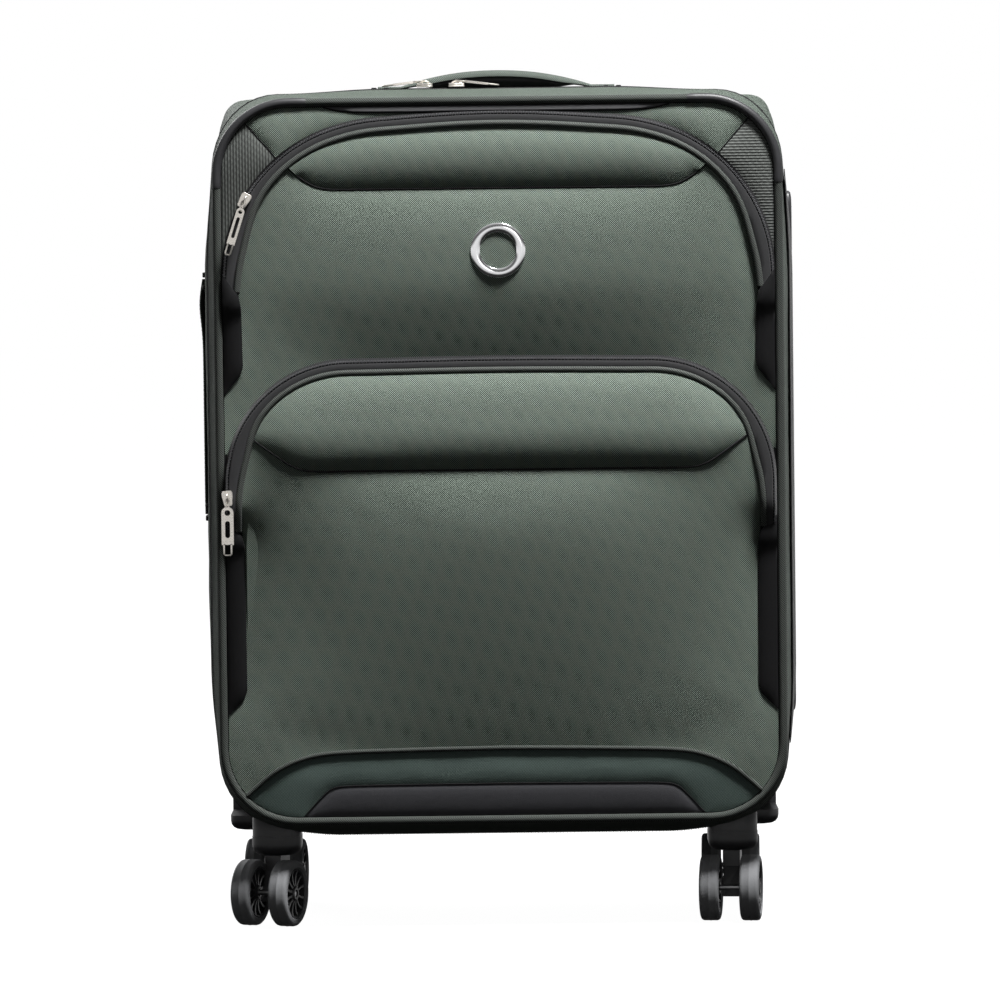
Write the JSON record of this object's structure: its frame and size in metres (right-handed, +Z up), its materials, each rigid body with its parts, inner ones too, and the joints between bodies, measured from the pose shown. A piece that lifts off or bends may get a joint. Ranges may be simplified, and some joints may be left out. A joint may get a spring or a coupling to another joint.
{
  "type": "softside spinner suitcase",
  "caption": "Upright softside suitcase with an opening padded lid, zipped front pockets, carry handles, a telescopic handle and swivelling twin-wheel casters.",
  "frame": {"origin": "on the floor, under the middle of the whole case", "axes": "+Z up, the lid and its pockets face -Y, the side handle is on -X and the lid's hinge on +X"},
  "size_m": [0.4788, 0.2896, 0.6725],
  "materials": {
    "twill_fabric": "grey-green two-tone twill polyester",
    "rib_fabric": "ribbed dobby weave, corner inserts",
    "charcoal_fabric": "dark charcoal plain weave inserts",
    "black_fabric": "near-black plain weave side inserts",
    "base_fabric": "bluish grey-green band at the foot of the lid",
    "lining": "thin woven polyester lining",
    "mesh": "knitted mesh of the inside pocket",
    "webbing": "woven black webbing",
    "piping": "fabric-covered cord",
    "corner_sleeve": "smooth black sleeve over the top corners' piping",
    "handle_fabric": "padded handle skin in the case's twill",
    "zip_tape": "black zip tape and nylon coil",
    "zip_metal": "satin nickel die-cast pulls",
    "chrome": "bright chrome",
    "black_plastic": "fine-textured black moulding",
    "caster_plastic": "dark grey nylon fork",
    "wheel_tread": "dark grey polyurethane tread on a spoked black hub",
    "button_plastic": "grey push button",
    "aluminium": "satin anodised tube",
    "steel": "plain steel pin"
  },
  "bodies": {
    "case": {"back_panel": "twill_fabric", "back_lining": "lining", "bottom_panel": "twill_fabric", "top_panel": "twill_fabric", "left_side_panel": "twill_fabric", "right_side_panel": "twill_fabric", "case_zip": "zip_tape", "rear_piping": "piping", "side_foot_lower": "black_plastic", "side_foot_upper": "black_plastic", "top_anchor_left": "black_plastic", "top_anchor_right": "black_plastic", "side_anchor_lower": "black_plastic", "side_anchor_upper": "black_plastic", "handle_bezel": "black_plastic", "outer_tube_left": "aluminium", "outer_tube_right": "aluminium", "front_left_housing": "black_plastic", "front_right_housing": "black_plastic", "rear_left_housing": "black_plastic", "rear_right_housing": "black_plastic"},
    "lid": {"lid_panel": "twill_fabric", "lid_gusset": "twill_fabric", "lid_zip": "zip_tape", "front_piping": "piping", "upper_pocket": "twill_fabric", "lower_pocket": "twill_fabric", "upper_pocket_zip": "zip_tape", "lower_pocket_zip": "zip_tape", "emblem_ring": "chrome"},
    "top_handle": {"top_handle": "handle_fabric"},
    "side_handle": {"side_handle": "handle_fabric"},
    "telescopic_handle": {"grip": "black_plastic", "inner_tube_left": "aluminium", "inner_tube_right": "aluminium"},
    "release_button": {"grip_button": "button_plastic"},
    "main_left_slider": {"main_left_slider": "zip_metal"},
    "main_left_pull": {"main_left_pull": "zip_metal"},
    "main_right_slider": {"main_right_slider": "zip_metal"},
    "main_right_pull": {"main_right_pull": "zip_metal"},
    "upper_zip_slider": {"upper_zip_slider": "zip_metal"},
    "upper_zip_pull": {"upper_zip_pull": "zip_metal"},
    "lower_zip_slider": {"lower_zip_slider": "zip_metal"},
    "lower_zip_pull": {"lower_zip_pull": "zip_metal"},
    "front_left_caster": {"front_left_fork": "caster_plastic", "front_left_axle": "steel"},
    "front_left_inner_wheel": {"front_left_inner_wheel": "wheel_tread"},
    "front_left_outer_wheel": {"front_left_outer_wheel": "wheel_tread"},
    "front_right_caster": {"front_right_fork": "caster_plastic", "front_right_axle": "steel"},
    "front_right_inner_wheel": {"front_right_inner_wheel": "wheel_tread"},
    "front_right_outer_wheel": {"front_right_outer_wheel": "wheel_tread"},
    "rear_left_caster": {"rear_left_fork": "caster_plastic", "rear_left_axle": "steel"},
    "rear_left_inner_wheel": {"rear_left_inner_wheel": "wheel_tread"},
    "rear_left_outer_wheel": {"rear_left_outer_wheel": "wheel_tread"},
    "rear_right_caster": {"rear_right_fork": "caster_plastic", "rear_right_axle": "steel"},
    "rear_right_inner_wheel": {"rear_right_inner_wheel": "wheel_tread"},
    "rear_right_outer_wheel": {"rear_right_outer_wheel": "wheel_tread"}
  },
  "joints": [
    {"name": "lid_hinge", "type": "hinge", "parent": "case", "child": "lid", "pos_m": [0.22973, -0.08, 0.365], "axis": [0, 0, 1], "range_deg": [0, 180]},
    {"name": "top_handle_lift", "type": "slide", "parent": "case", "child": "top_handle", "axis": [0, 0, 1], "range_m": [0, 0.018], "stiffness_N_per_m": 150, "springref_m": -0.004},
    {"name": "side_handle_pull", "type": "slide", "parent": "case", "child": "side_handle", "axis": [-1, 0, 0], "range_m": [0, 0.018], "stiffness_N_per_m": 150, "springref_m": -0.004},
    {"name": "telescopic_handle_slide", "type": "slide", "parent": "case", "child": "telescopic_handle", "axis": [0, 0, 1], "range_m": [0, 0.38]},
    {"name": "release_button_press", "type": "slide", "parent": "telescopic_handle", "child": "release_button", "axis": [0, 0, -1], "range_m": [0, 0.003], "stiffness_N_per_m": 500, "springref_m": -0.002},
    {"name": "main_left_slider_travel", "type": "slide", "parent": "case", "child": "main_left_slider", "axis": [-1, 0, 0], "range_m": [0, 0.104]},
    {"name": "main_left_pull_flip", "type": "hinge", "parent": "main_left_slider", "child": "main_left_pull", "pos_m": [-0.056, -0.08, 0.66242], "axis": [0, 1, 0], "range_deg": [0, 100]},
    {"name": "main_right_slider_travel", "type": "slide", "parent": "case", "child": "main_right_slider", "axis": [1, 0, 0], "range_m": [0, 0.19]},
    {"name": "main_right_pull_flip", "type": "hinge", "parent": "main_right_slider", "child": "main_right_pull", "pos_m": [-0.031, -0.08, 0.66242], "axis": [0, -1, 0], "range_deg": [0, 100]},
    {"name": "upper_zip_slider_travel", "type": "hinge", "parent": "lid", "child": "upper_zip_slider", "pos_m": [-0.092, -0.1218, 0.5085], "axis": [0, 1, 0], "range_deg": [-32, 58]},
    {"name": "upper_zip_pull_flip", "type": "hinge", "parent": "upper_zip_slider", "child": "upper_zip_pull", "pos_m": [-0.19291, -0.128, 0.56771], "axis": [-0.9521, 0, 0.3057], "range_deg": [0, 170]},
    {"name": "lower_zip_slider_travel", "type": "hinge", "parent": "lid", "child": "lower_zip_slider", "pos_m": [-0.118, -0.1318, 0.3487], "axis": [0, 1, 0], "range_deg": [0, 94]},
    {"name": "lower_zip_pull_flip", "type": "hinge", "parent": "lower_zip_slider", "child": "lower_zip_pull", "pos_m": [-0.208, -0.138, 0.33924], "axis": [-1, 0, 0], "range_deg": [0, 170]},
    {"name": "front_left_swivel", "type": "hinge", "parent": "case", "child": "front_left_caster", "pos_m": [-0.1797, -0.068, 0.0545], "axis": [0, 0, 1], "continuous": true},
    {"name": "front_left_inner_wheel_spin", "type": "hinge", "parent": "front_left_caster", "child": "front_left_inner_wheel", "pos_m": [-0.17101, -0.09032, 0.02578], "axis": [0.9397, -0.342, 0], "continuous": true},
    {"name": "front_left_outer_wheel_spin", "type": "hinge", "parent": "front_left_caster", "child": "front_left_outer_wheel", "pos_m": [-0.2007, -0.07951, 0.02578], "axis": [0.9397, -0.342, 0], "continuous": true},
    {"name": "front_right_swivel", "type": "hinge", "parent": "case", "child": "front_right_caster", "pos_m": [0.1797, -0.068, 0.0545], "axis": [0, 0, 1], "continuous": true},
    {"name": "front_right_inner_wheel_spin", "type": "hinge", "parent": "front_right_caster", "child": "front_right_inner_wheel", "pos_m": [0.16182, -0.08394, 0.02578], "axis": [0.9925, -0.1219, 0], "continuous": true},
    {"name": "front_right_outer_wheel_spin", "type": "hinge", "parent": "front_right_caster", "child": "front_right_outer_wheel", "pos_m": [0.19319, -0.08779, 0.02578], "axis": [0.9925, -0.1219, 0], "continuous": true},
    {"name": "rear_left_swivel", "type": "hinge", "parent": "case", "child": "rear_left_caster", "pos_m": [-0.185, 0.098, 0.0545], "axis": [0, 0, 1], "continuous": true},
    {"name": "rear_left_inner_wheel_spin", "type": "hinge", "parent": "rear_left_caster", "child": "rear_left_inner_wheel", "pos_m": [-0.17083, 0.07869, 0.02578], "axis": [0.9962, -0.0872, 0], "continuous": true},
    {"name": "rear_left_outer_wheel_spin", "type": "hinge", "parent": "rear_left_caster", "child": "rear_left_outer_wheel", "pos_m": [-0.20231, 0.08145, 0.02578], "axis": [0.9962, -0.0872, 0], "continuous": true},
    {"name": "rear_right_swivel", "type": "hinge", "parent": "case", "child": "rear_right_caster", "pos_m": [0.185, 0.098, 0.0545], "axis": [0, 0, 1], "continuous": true},
    {"name": "rear_right_inner_wheel_spin", "type": "hinge", "parent": "rear_right_caster", "child": "rear_right_inner_wheel", "pos_m": [0.16828, 0.08085, 0.02578], "axis": [0.9986, -0.0523, 0], "continuous": true},
    {"name": "rear_right_outer_wheel_spin", "type": "hinge", "parent": "rear_right_caster", "child": "rear_right_outer_wheel", "pos_m": [0.19984, 0.0792, 0.02578], "axis": [0.9986, -0.0523, 0], "continuous": true}
  ]
}
